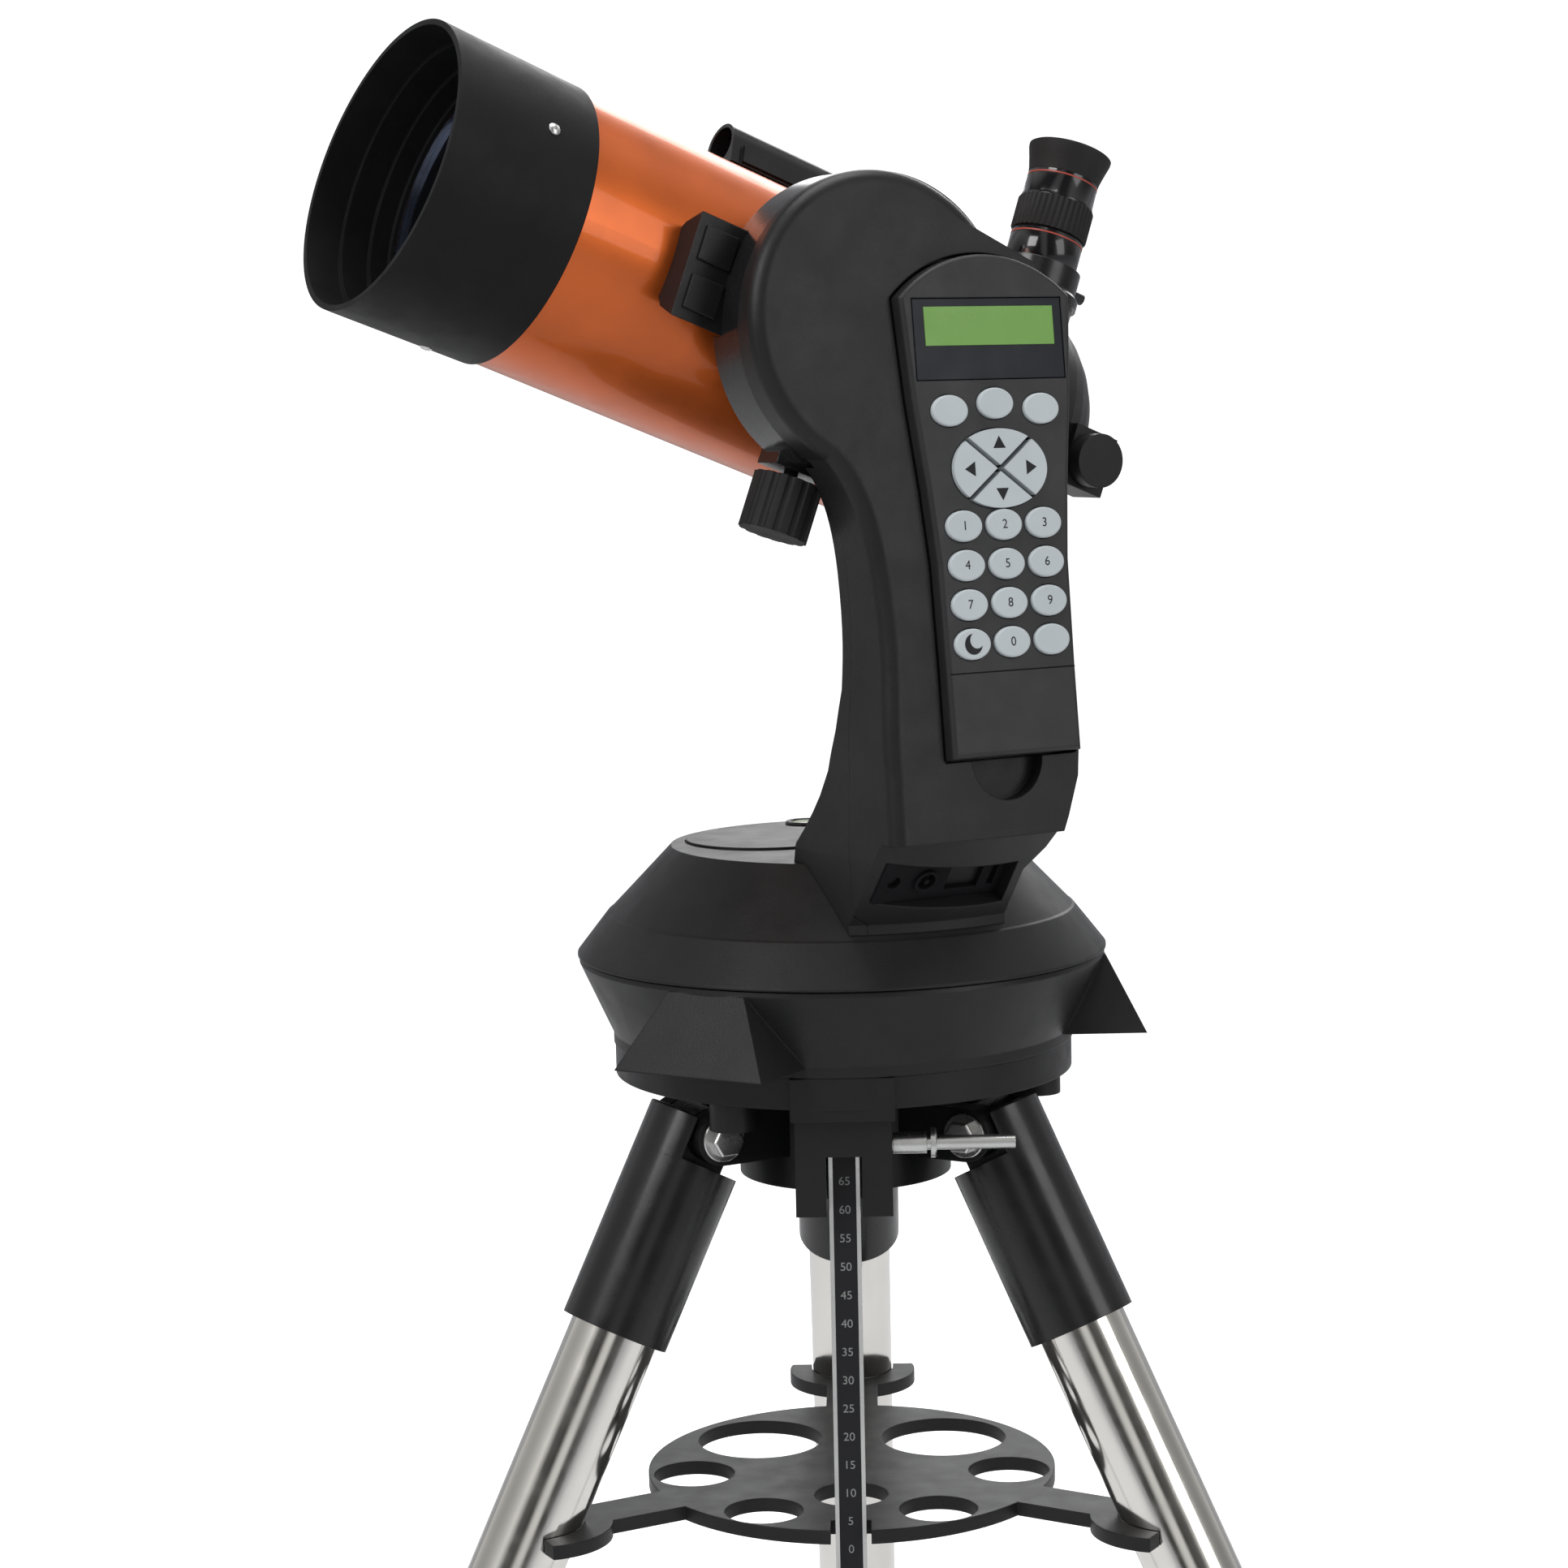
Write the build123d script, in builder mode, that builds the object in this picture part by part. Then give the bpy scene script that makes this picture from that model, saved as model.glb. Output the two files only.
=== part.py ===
from build123d import *
from math import cos, radians, sin, tan
import os

# Single-arm computerised telescope on a wedge tripod, in millimetres, +Z up, origin on the floor
# under the middle of the feet. The azimuth axis stands at (0, AXIS_Y).

# Tripod
LEG_TILT = 27.2
LEG_AZIMUTHS = (90, 210, 330)
HINGE_R = 72.0
HINGE_Z = 588.4
FOOT_R = 15.0
LEG_LENGTH = (HINGE_Z - FOOT_R) / cos(radians(LEG_TILT))
AXIS_Y = -(HINGE_R + LEG_LENGTH * sin(radians(LEG_TILT))) / 4
LEG_TUBE_R = 19.05
INNER_TUBE_R = 15.9
SLEEVE_R = 23.4
SLEEVE_TOP = 14.0
SLEEVE_END = 92.0
TUBE_END = 480.0
CLAMP_POS = 492.0
EAR_R = 11.5

# Base and wedge plate, heights from the widest rim
RIM_Z = 661.0
RIM_R = 114.3
TOP_R = 73.0
TOP_Z = 46.0
RIDGE_R = 100.0
RIDGE_Z = 17.5
SHELL_BOTTOM = -38.5
PLATE_R = 99.0
PLATE_T = 13.5
TILT_PIN_Y = 72.0
TILT_ARM_X = 54.0
MOUNT_SCREW_R = 84.0
MOUNT_AZIMUTHS = (-123, -3, 117)
FOOT_AZIMUTHS = (-119, 1, 121)
FOOT_BOTTOM = -34.5
TILT_PIN_Z = -62.0
BAR_Y = -80.0
BAR_TOP_Z = -47.0
BAR_LENGTH = 215.0
BAR_W = 13.0
BAR_T = 4.0
TRAY_Z = -235.1
TRAY_R = 89.6
WALL = 3.0

# Mount head: turned about the azimuth axis, tube raised about the altitude axis
SWING = 31.99
ALTITUDE = 21.23
PIVOT_S = 31.7
PIVOT_Z = 264.5
HEAD_R = 62.0
HUB_IN = 64.5
ARM_IN = 82.0
SEAM_T = 89.0
FACE_LOW_T = 121.0
FACE_LOW_Z = 90.0
FACE_TILT = 6.0

# Optical tube, distances along the axis from the altitude pivot
TUBE_R = 58.3
TUBE_WALL = 1.5
TUBE_BACK = -103.0
HOOD_BACK = 123.0
HOOD_FRONT = 186.8
HOOD_R = 61.0
EYE_POS = -124.0
EYE_LEAN = 3.0
EYE_R = 15.85
DOVETAIL_W = 43.0
DOVETAIL_V = -3.0
DOVETAIL_T = 71.0
FLIP_POS = -137.0
KNOB_D = 6.0
KNOB_T = 66.8
FLIP_V = -8.0

# Hand control, millimetres on its own face, x to the back, y up
HC_CENTRE_B = 8.0
HC_CENTRE_Z = 190.0
HC_BACK = -10.0
HC_FRONT = 6.0
KEY_W = 17.0
KEY_H = 12.5
KEY_PITCH_X = 19.2
KEY_PITCH_Y = 15.7
PAD_Y = 17.0
MENU_Y = 40.5

os.makedirs("parts", exist_ok=True)

FORWARD = Vector(-cos(radians(SWING)), -sin(radians(SWING)), 0)
OUTWARD = Vector(sin(radians(SWING)), -cos(radians(SWING)), 0)
UP = Vector(0, 0, 1)
AXIS_FOOT = Vector(0, AXIS_Y, 0)
SIGHT = FORWARD * cos(radians(ALTITUDE)) + UP * sin(radians(ALTITUDE))
SIGHT_UP = UP * cos(radians(ALTITUDE)) - FORWARD * sin(radians(ALTITUDE))
PIVOT = AXIS_FOOT + FORWARD * PIVOT_S + UP * (RIM_Z + PIVOT_Z)


def save(part, name):
    """Label a finished piece and write its STEP file."""
    part.label = name
    export_step(part, f"parts/{name}.step")


def level(z):
    """Horizontal plane on the azimuth axis, z measured from the rim."""
    return Plane((0, AXIS_Y, RIM_Z + z))


def profile_plane():
    """Upright plane through the azimuth axis for turned shapes: x is radius, y is height."""
    return Plane(origin=(0, AXIS_Y, RIM_Z), x_dir=(1, 0, 0), z_dir=(0, -1, 0))


def side_plane(x):
    """Upright plane facing +X: sketch x runs along +Y, sketch y is height from the rim."""
    return Plane(origin=(x, AXIS_Y, RIM_Z), x_dir=(0, 1, 0), z_dir=(1, 0, 0))


def arm_plane(t):
    """Upright plane t outwards from the azimuth axis: x runs to the back, y is height."""
    return Plane(origin=AXIS_FOOT + OUTWARD * t + UP * RIM_Z, x_dir=-FORWARD, z_dir=OUTWARD)


def leg_plane(azimuth, station):
    """Plane across a leg, station measured down the leg from its hinge, y outwards."""
    a = radians(azimuth)
    out = Vector(cos(a), sin(a), 0)
    along = out * sin(radians(LEG_TILT)) - UP * cos(radians(LEG_TILT))
    hinge = AXIS_FOOT + out * HINGE_R + UP * HINGE_Z
    return Plane(origin=hinge + along * station, x_dir=Vector(-sin(a), cos(a), 0), z_dir=along)


def hinge_plane(azimuth, offset):
    """Plane across a leg hinge bolt: x outwards and level, y down, centred on the bolt."""
    a = radians(azimuth)
    out = Vector(cos(a), sin(a), 0)
    side = Vector(-sin(a), cos(a), 0)
    hinge = AXIS_FOOT + out * HINGE_R + UP * HINGE_Z
    return Plane(origin=hinge + side * offset, x_dir=out, z_dir=side)


def tube_plane(distance):
    """Plane across the optical tube: x to the arm side, y upwards."""
    return Plane(origin=PIVOT + SIGHT * distance, x_dir=OUTWARD, z_dir=SIGHT)


def tube_profile():
    """Plane along the optical tube: x is distance forward, y is radius."""
    return Plane(origin=PIVOT, x_dir=SIGHT, z_dir=-OUTWARD)


def saddle_plane(t):
    """Plane across the altitude axis, t outwards: x towards the back of the tube, y upwards."""
    return Plane(origin=PIVOT + OUTWARD * t, x_dir=-SIGHT, z_dir=OUTWARD)


EYE_DIR = SIGHT_UP * cos(radians(EYE_LEAN)) - OUTWARD * sin(radians(EYE_LEAN))
EYE_FOOT = PIVOT + SIGHT * EYE_POS


def eye_profile():
    """Plane along the eyepiece: x is radius forward, y is height from the optical axis."""
    return Plane(origin=EYE_FOOT, x_dir=SIGHT, z_dir=SIGHT.cross(EYE_DIR))


def face_plane(lift=0.0):
    """Plane on the hand control's face, tilted back with the arm."""
    t = FACE_LOW_T - (HC_CENTRE_Z - FACE_LOW_Z) * tan(radians(FACE_TILT))
    normal = OUTWARD * cos(radians(FACE_TILT)) + UP * sin(radians(FACE_TILT))
    centre = AXIS_FOOT + OUTWARD * t - FORWARD * HC_CENTRE_B + UP * (RIM_Z + HC_CENTRE_Z)
    return Plane(origin=centre + normal * lift, x_dir=-FORWARD, z_dir=normal)


TUBE_AXIS = Axis(PIVOT, SIGHT)
EYE_AXIS = Axis(EYE_FOOT, EYE_DIR)
SPIN_AXIS = Axis((0, AXIS_Y, 0), (0, 0, 1))

# ---------------------------------------------------------------- tripod head
with BuildPart() as tripod_head:
    with BuildSketch(level(-98)):
        Circle(46)
    extrude(amount=40)
    for az in LEG_AZIMUTHS:
        for side in (-1, 1):
            with BuildSketch(hinge_plane(az, side * 18 - 5)):
                Circle(EAR_R)
                with Locations((-22, 0)):
                    Rectangle(44, 2 * EAR_R)
            extrude(amount=10)
    # front block that guides the latitude bar
    with BuildSketch(level(-98)):
        with Locations((0, -68)):
            Rectangle(40, 48)
    extrude(amount=41)
    # rear arms that carry the tilt pins
    for side in (-1, 1):
        with BuildSketch(side_plane(side * TILT_ARM_X - 4)):
            with Locations((TILT_PIN_Y, TILT_PIN_Z)):
                Circle(8)
            with BuildLine():
                Polyline((TILT_PIN_Y, TILT_PIN_Z + 8), (0, TILT_PIN_Z + 4), (0, -92),
                         (TILT_PIN_Y, TILT_PIN_Z - 8), close=True)
            make_face()
        extrude(amount=8)
    with BuildSketch(level(-92)):
        with Locations((0, 14)):
            Rectangle(2 * TILT_ARM_X, 28)
    extrude(amount=34)
    # room between each pair of ears for the leg's tongue
    for az in LEG_AZIMUTHS:
        with BuildSketch(hinge_plane(az, -12.6)):
            Circle(EAR_R + 5)
            with Locations((0, 10)):
                Rectangle(2 * EAR_R + 10, 40)
        extrude(amount=25.2, mode=Mode.SUBTRACT)
        with BuildSketch(hinge_plane(az, -30)):
            Circle(4)
        extrude(amount=60, mode=Mode.SUBTRACT)
    # passage for the bar, open to the front below the bridge
    with BuildSketch(level(-99)):
        with Locations((0, -73)):
            Rectangle(BAR_W + 1.8, 26)
    extrude(amount=45, mode=Mode.SUBTRACT)
    with BuildSketch(level(-99)):
        with Locations((0, -88)):
            Rectangle(BAR_W + 1.8, 12)
    extrude(amount=26, mode=Mode.SUBTRACT)
    for side in (-1, 1):
        with BuildSketch(side_plane(side * TILT_ARM_X - 6)):
            with Locations((TILT_PIN_Y, TILT_PIN_Z)):
                Circle(4)
        extrude(amount=12, mode=Mode.SUBTRACT)
    with BuildSketch(side_plane(5)):
        with Locations((BAR_Y, -70)):
            Circle(3.05)
    extrude(amount=20, mode=Mode.SUBTRACT)
save(tripod_head.part, "tripod_head")

# ------------------------------------------- leg hinge bolts and tilt pins, all held in the head
with BuildPart() as pivot_bolts:
    for az in LEG_AZIMUTHS:
        with BuildSketch(hinge_plane(az, -25)):
            Circle(3.95)
        extrude(amount=50)
        with BuildSketch(hinge_plane(az, -27.5), hinge_plane(az, 23.1)):
            RegularPolygon(6.4, 6)
        extrude(amount=4.4)
    for side in (-1, 1):
        with BuildSketch(side_plane(side * (TILT_ARM_X + 4.5) - 9.5)):
            with Locations((TILT_PIN_Y, TILT_PIN_Z)):
                Circle(3.95)
        extrude(amount=19)
save(pivot_bolts.part, "pivot_bolts")

# ---------------------------------------------------------------- wedge plate
with BuildPart() as wedge_plate:
    with BuildSketch(level(SHELL_BOTTOM - PLATE_T)):
        Circle(PLATE_R)
        with Locations((0, TILT_PIN_Y + 28)):
            Rectangle(200, 40, mode=Mode.SUBTRACT)
    extrude(amount=PLATE_T)
    with BuildSketch(level(-57)):
        with Locations((0, -83)):
            Rectangle(43, 30)
    extrude(amount=18)
    for side in (-1, 1):
        with BuildSketch(side_plane(side * (TILT_ARM_X + 8.8) - 4.4)):
            with Locations((TILT_PIN_Y, TILT_PIN_Z)):
                Circle(7.5)
            with Locations((TILT_PIN_Y, TILT_PIN_Z + 6)):
                Rectangle(15, 12)
        extrude(amount=8.8)
        with BuildSketch(side_plane(side * (TILT_ARM_X + 8.8) - 5.4)):
            with Locations((TILT_PIN_Y, TILT_PIN_Z)):
                Circle(4.02)
        extrude(amount=10.8, mode=Mode.SUBTRACT)
    # slot for the top of the latitude bar, and its pivot pin across the slot
    with BuildSketch(level(-60)):
        with Locations((0, BAR_Y)):
            Rectangle(BAR_W + 1.0, 20)
    extrude(amount=20, mode=Mode.SUBTRACT)
    with BuildSketch(side_plane(-15)):
        with Locations((BAR_Y, BAR_TOP_Z)):
            Circle(2)
    extrude(amount=30)
    for az in MOUNT_AZIMUTHS:
        with BuildSketch(level(-60)):
            with PolarLocations(MOUNT_SCREW_R, 1, start_angle=az):
                Circle(3.3)
        extrude(amount=30, mode=Mode.SUBTRACT)
save(wedge_plate.part, "wedge_plate")

with BuildPart() as mounting_knobs:
    for az in MOUNT_AZIMUTHS:
        with BuildSketch(level(-65)):
            with PolarLocations(MOUNT_SCREW_R, 1, start_angle=az):
                Circle(10)
        extrude(amount=12.7)
        with BuildSketch(level(-53)):
            with PolarLocations(MOUNT_SCREW_R, 1, start_angle=az):
                Circle(3.2)
        extrude(amount=17.5)
save(mounting_knobs.part, "mounting_knobs")

# ---------------------------------------------------------------- latitude bar and its clamp
with BuildPart() as latitude_bar:
    with BuildSketch(side_plane(-BAR_W / 2)):
        with Locations((BAR_Y, BAR_TOP_Z)):
            Circle(4.5)
        with Locations((BAR_Y, BAR_TOP_Z - BAR_LENGTH / 2)):
            Rectangle(BAR_T, BAR_LENGTH)
    extrude(amount=BAR_W)
    with BuildSketch(side_plane(-BAR_W)):
        with Locations((BAR_Y, BAR_TOP_Z)):
            Circle(2.05)
    extrude(amount=2 * BAR_W, mode=Mode.SUBTRACT)
    # shallow channel along the front that holds the scale
    with BuildSketch(level(BAR_TOP_Z - BAR_LENGTH - 1)):
        with Locations((0, BAR_Y - BAR_T / 2)):
            Rectangle(BAR_W - 4.6, 1.6)
    extrude(amount=BAR_LENGTH - 8, mode=Mode.SUBTRACT)
save(latitude_bar.part, "latitude_bar")

with BuildPart() as latitude_clamp:
    with BuildSketch(side_plane(7.0)):
        with Locations((BAR_Y, -70)):
            Circle(3.0)
    extrude(amount=64)
    with BuildSketch(side_plane(20.4)):
        with Locations((BAR_Y, -70)):
            Circle(4.4)
    extrude(amount=14)
save(latitude_clamp.part, "latitude_clamp")

# ---------------------------------------------------------------- accessory tray
with BuildPart() as accessory_tray:
    arm_r = HINGE_R + (HINGE_Z - RIM_Z - TRAY_Z) * tan(radians(LEG_TILT))
    with BuildSketch(level(TRAY_Z - 3)):
        Circle(TRAY_R)
        for az in LEG_AZIMUTHS:
            with Locations(Rot(0, 0, az)):
                with Locations((arm_r / 2, 0)):
                    Rectangle(arm_r - 40, 24)
                with Locations((arm_r - 5, 0)):
                    Circle(30)
        for az in LEG_AZIMUTHS:
            with Locations(Rot(0, 0, az)):
                with Locations((arm_r, 0)):
                    Ellipse(23.4, 19.8, mode=Mode.SUBTRACT)
                with Locations((arm_r + 28, 0)):
                    Rectangle(50, 90, mode=Mode.SUBTRACT)
        with Locations((-41.4, 39), (41.4, 39)):
            Circle(28, mode=Mode.SUBTRACT)
        with Locations((-69, -10), (69, -10)):
            Circle(17.7, mode=Mode.SUBTRACT)
        with Locations((-37, -62), (37, -62)):
            Circle(16.8, mode=Mode.SUBTRACT)
        with Locations((0, -41.5)):
            Circle(16, mode=Mode.SUBTRACT)
        with Locations((0, BAR_Y - 7)):
            Rectangle(BAR_W + 4, 22, mode=Mode.SUBTRACT)
    extrude(amount=6)
save(accessory_tray.part, "accessory_tray")

# ---------------------------------------------------------------- three legs
for number, az in enumerate(LEG_AZIMUTHS, start=1):
    with BuildPart() as leg_sleeve:
        # tongue between the head's ears
        with BuildSketch(hinge_plane(az, -12)):
            Circle(EAR_R)
        extrude(amount=24)
        with BuildSketch(leg_plane(az, 0)):
            Rectangle(24, 2 * EAR_R)
        extrude(amount=15)
        with BuildSketch(leg_plane(az, SLEEVE_TOP)):
            Circle(SLEEVE_R)
        extrude(amount=SLEEVE_END - SLEEVE_TOP)
        with BuildSketch(leg_plane(az, 40)):
            Circle(LEG_TUBE_R)
        extrude(amount=SLEEVE_END, mode=Mode.SUBTRACT)
        with BuildSketch(hinge_plane(az, -20)):
            Circle(4.02)
        extrude(amount=40, mode=Mode.SUBTRACT)
        # clamp collar at the lower end of the chrome tube, with a boss for the knob
        with BuildSketch(leg_plane(az, TUBE_END - 26)):
            Circle(SLEEVE_R)
        extrude(amount=52)
        with BuildSketch(Plane(leg_plane(az, CLAMP_POS).origin,
                               x_dir=leg_plane(az, 0).x_dir, z_dir=leg_plane(az, 0).y_dir)):
            Circle(9)
        extrude(amount=29)
        with BuildSketch(leg_plane(az, TUBE_END - 27)):
            Circle(LEG_TUBE_R)
        extrude(amount=27, mode=Mode.SUBTRACT)
        with BuildSketch(leg_plane(az, TUBE_END - 1)):
            Circle(INNER_TUBE_R + 0.05)
        extrude(amount=30, mode=Mode.SUBTRACT)
        with BuildSketch(Plane(leg_plane(az, CLAMP_POS).origin,
                               x_dir=leg_plane(az, 0).x_dir, z_dir=leg_plane(az, 0).y_dir)):
            Circle(3.05)
        extrude(amount=32, mode=Mode.SUBTRACT)
    save(leg_sleeve.part, f"leg_sleeve_{number}")

    with BuildPart() as leg_tube:
        with BuildSketch(leg_plane(az, 40)):
            Circle(LEG_TUBE_R)
            Circle(LEG_TUBE_R - 1.5, mode=Mode.SUBTRACT)
        extrude(amount=TUBE_END - 40)
    save(leg_tube.part, f"leg_tube_{number}")

    with BuildPart() as leg_extension:
        with BuildSketch(leg_plane(az, 140)):
            Circle(INNER_TUBE_R)
            Circle(INNER_TUBE_R - 1.5, mode=Mode.SUBTRACT)
        extrude(amount=LEG_LENGTH - 140 - 20)
        # rubber foot that plugs the tube's end
        with BuildSketch(leg_plane(az, LEG_LENGTH - 20)):
            Circle(INNER_TUBE_R)
        extrude(amount=20)
        with Locations(leg_plane(az, LEG_LENGTH)):
            Sphere(FOOT_R)
    save(leg_extension.part, f"leg_extension_{number}")

    with BuildPart() as leg_knob:
        across = leg_plane(az, 0)
        with BuildSketch(Plane(leg_plane(az, CLAMP_POS).origin + across.y_dir * 16.2,
                               x_dir=across.x_dir, z_dir=across.y_dir)):
            Circle(3.0)
        extrude(amount=16)
        with BuildSketch(Plane(leg_plane(az, CLAMP_POS).origin + across.y_dir * 30,
                               x_dir=across.x_dir, z_dir=across.y_dir)):
            Circle(13)
            with PolarLocations(14.5, 6):
                Circle(4, mode=Mode.SUBTRACT)
        extrude(amount=14)
    save(leg_knob.part, f"leg_knob_{number}")

# ---------------------------------------------------------------- base
with BuildPart() as base_shell:
    with BuildSketch(profile_plane()):
        with BuildLine():
            Polyline((0, SHELL_BOTTOM), (99.6, SHELL_BOTTOM), (99.6, -34), (113.6, -3), (113.2, -1),
                     (110.2, -1), (110.2, -3.5), (97.0, -33), (97.0, -35), (0, -35), close=True)
        make_face()
    revolve(axis=SPIN_AXIS)
    for az in FOOT_AZIMUTHS:
        foot_frame = Plane(origin=(0, AXIS_Y, RIM_Z + FOOT_BOTTOM),
                           x_dir=(cos(radians(az)), sin(radians(az)), 0), z_dir=(0, 0, 1))
        with BuildSketch(foot_frame):
            with Locations((108, 0)):
                Rectangle(42, 70)
        with BuildSketch(foot_frame.offset(31.5)):
            with Locations((106, 0)):
                Rectangle(14, 36)
        loft()
    with BuildSketch(profile_plane()):
        with BuildLine():
            Polyline((0, -35), (97.0, -35), (97.0, -33), (110.2, -3.5), (110.2, 0), (0, 0),
                     close=True)
        make_face()
    revolve(axis=SPIN_AXIS, mode=Mode.SUBTRACT)
    for az in MOUNT_AZIMUTHS:
        with BuildSketch(level(-40)):
            with PolarLocations(MOUNT_SCREW_R, 1, start_angle=az):
                Circle(3.2)
        extrude(amount=8, mode=Mode.SUBTRACT)
save(base_shell.part, "base_shell")

with BuildPart() as azimuth_gear:
    with BuildSketch(level(-35)):
        Circle(48)
        with PolarLocations(48, 60):
            Rectangle(2.6, 2.2)
    extrude(amount=8)
    with BuildSketch(level(-27)):
        Circle(14)
    extrude(amount=34)
save(azimuth_gear.part, "azimuth_gear")

with BuildPart() as turntable:
    with BuildSketch(profile_plane()):
        with BuildLine():
            Polyline((0, TOP_Z), (TOP_R, TOP_Z), (RIDGE_R, RIDGE_Z + 0.6), (RIDGE_R + 1, RIDGE_Z),
                     (RIM_R, 0.6), (RIM_R, -0.4), (RIM_R - WALL, -0.4), (RIDGE_R - 2, RIDGE_Z - 3),
                     (TOP_R - 1.5, TOP_Z - 3.5), (24, TOP_Z - 3.5), (24, -18), (14.05, -18),
                     (14.05, 7.5), (0, 7.5), close=True)
        make_face()
    revolve(axis=SPIN_AXIS)
    with BuildSketch(Plane(AXIS_FOOT + FORWARD * 22 - OUTWARD * 24 + UP * (RIM_Z + TOP_Z - 1.2))):
        Circle(36)
    extrude(amount=2, mode=Mode.SUBTRACT)
save(turntable.part, "turntable")
with BuildPart() as battery_cover:
    with BuildSketch(Plane(AXIS_FOOT + FORWARD * 22 - OUTWARD * 24 + UP * (RIM_Z + TOP_Z - 1.2))):
        Circle(35.5)
    extrude(amount=2.2)
save(battery_cover.part, "battery_cover")

# ---------------------------------------------------------------- arm
ARM_FRONT = [(-48, 5), (-49, 30), (-50, 52), (-49.5, 70), (-49, 87), (-48.5, 110), (-47, 136), (-48, 160),
             (-51, 182), (-56, 198), (-66, 213)]
ARM_BACK = [(14, 301), (36, 290), (44, 280), (44, 240), (41, 182), (42, 133), (42, 99), (40, 82),
            (34, 66), (28, 53), (20, 44), (20, 5)]


# side outline of the arm: round head round the altitude axis, narrow neck, flared foot
with BuildSketch() as arm_outline:
    with BuildLine():
        neck = Spline(*ARM_FRONT[4:])
        Polyline(*ARM_FRONT[:4], neck @ 0)
        ThreePointArc(neck @ 1, (-PIVOT_S, PIVOT_Z + HEAD_R), ARM_BACK[0])
        Polyline(*ARM_BACK, ARM_FRONT[0])
    make_face()

# what lies outside the arm's sloping faces, and the round that its foot follows
with BuildPart() as arm_trim:
    low_t = FACE_LOW_T + (FACE_LOW_Z - 60) * tan(radians(FACE_TILT))
    high_t = FACE_LOW_T - (340 - FACE_LOW_Z) * tan(radians(FACE_TILT))
    with BuildSketch(Plane(AXIS_FOOT - FORWARD * 100 + UP * RIM_Z, x_dir=OUTWARD, z_dir=FORWARD)):
        with BuildLine():
            Polyline((low_t, 60), (high_t, 340), (200, 340), (200, 0), (low_t, 0), close=True)
        make_face()
        with BuildLine():
            Polyline((ARM_IN, 340), (ARM_IN, 120), (78.3, 103), (72, 86), (66, 75.6), (60.5, 68.4),
                     (54, 61), (47, 54), (45, 46), (44, 0), (0, 0), (0, 340), close=True)
        make_face()
    extrude(amount=220)
    with BuildSketch(profile_plane()):
        with BuildLine():
            Polyline((0, 0), (0, TOP_Z), (TOP_R, TOP_Z), (RIDGE_R, RIDGE_Z + 0.6), (RIDGE_R, 0),
                     close=True)
        make_face()
        with BuildLine():
            Polyline((98.5, 0), (98.5, 24), (124, 60), (220, 60), (220, 0), close=True)
        make_face()
    revolve(axis=SPIN_AXIS)

# hour-glass outline of the hand control with an arched top
with BuildSketch() as control_outline:
    with BuildLine():
        left_side = [(-31, -98), (-31, -62), (-31.5, -20), (-34, 10), (-38, 45), (-41, 86)]
        right_side = [(-x, y) for x, y in left_side]
        Polyline(*left_side)
        Polyline(*right_side)
        Line(left_side[0], right_side[0])
        ThreePointArc(left_side[-1], (0, 103), right_side[-1])
    make_face()

with BuildPart() as arm_outer:
    with BuildSketch(arm_plane(SEAM_T)):
        add(arm_outline.sketch)
    extrude(amount=50)
    add(arm_trim.part, mode=Mode.SUBTRACT)
    face_normal = face_plane().z_dir
    outer_face = arm_outer.faces().filter_by(lambda f: f.normal_at().dot(face_normal) > 0.999)
    fillet(outer_face.sort_by(SortBy.AREA)[-1].edges().filter_by(GeomType.LINE, reverse=True), 6)
    # cradle for the hand control and the half-round thumb notch below it
    with BuildSketch(face_plane(HC_BACK - 0.4)):
        offset(control_outline.sketch, amount=1.2)
    extrude(amount=40, mode=Mode.SUBTRACT)
    with BuildSketch(face_plane(-7)):
        with Locations((-2, -99)):
            Circle(17)
    extrude(amount=30, mode=Mode.SUBTRACT)
    # bearing for the altitude shaft
    with BuildSketch(arm_plane(SEAM_T - 1)):
        with Locations((-PIVOT_S, PIVOT_Z)):
            Circle(14.05)
    extrude(amount=3.3, mode=Mode.SUBTRACT)
    with BuildSketch(arm_plane(SEAM_T - 1)):
        with Locations((-6, 120)):
            Rectangle(66, 96)
    extrude(amount=13, mode=Mode.SUBTRACT)
    # recess for the sockets in the foot
    port_frame = Plane(AXIS_FOOT + OUTWARD * 107 + FORWARD * 15 + UP * (RIM_Z + 40), x_dir=-FORWARD,
                       z_dir=OUTWARD * 0.816 - UP * 0.578)
    with BuildSketch(port_frame.offset(-7)):
        Rectangle(60, 22)
    extrude(amount=30, mode=Mode.SUBTRACT)
save(arm_outer.part, "arm_outer")

with BuildPart() as arm_inner:
    with BuildSketch(arm_plane(40)):
        add(arm_outline.sketch)
    extrude(amount=SEAM_T - 40)
    add(arm_trim.part, mode=Mode.SUBTRACT)
    with BuildSketch(arm_plane(50)):
        with Locations((-PIVOT_S, PIVOT_Z)):
            Circle(HEAD_R + 1.2)
        with Locations((-PIVOT_S, PIVOT_Z + 60)):
            Rectangle(260, 120)
        with Locations((-PIVOT_S - 80, PIVOT_Z)):
            Rectangle(80, 100)
    extrude(amount=60, mode=Mode.SUBTRACT)
    # hollow for the wiring between the two shells
    with BuildSketch(arm_plane(ARM_IN + 2.5)):
        with Locations((-6, 120)):
            Rectangle(66, 96)
    extrude(amount=10, mode=Mode.SUBTRACT)
save(arm_inner.part, "arm_inner")

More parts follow.
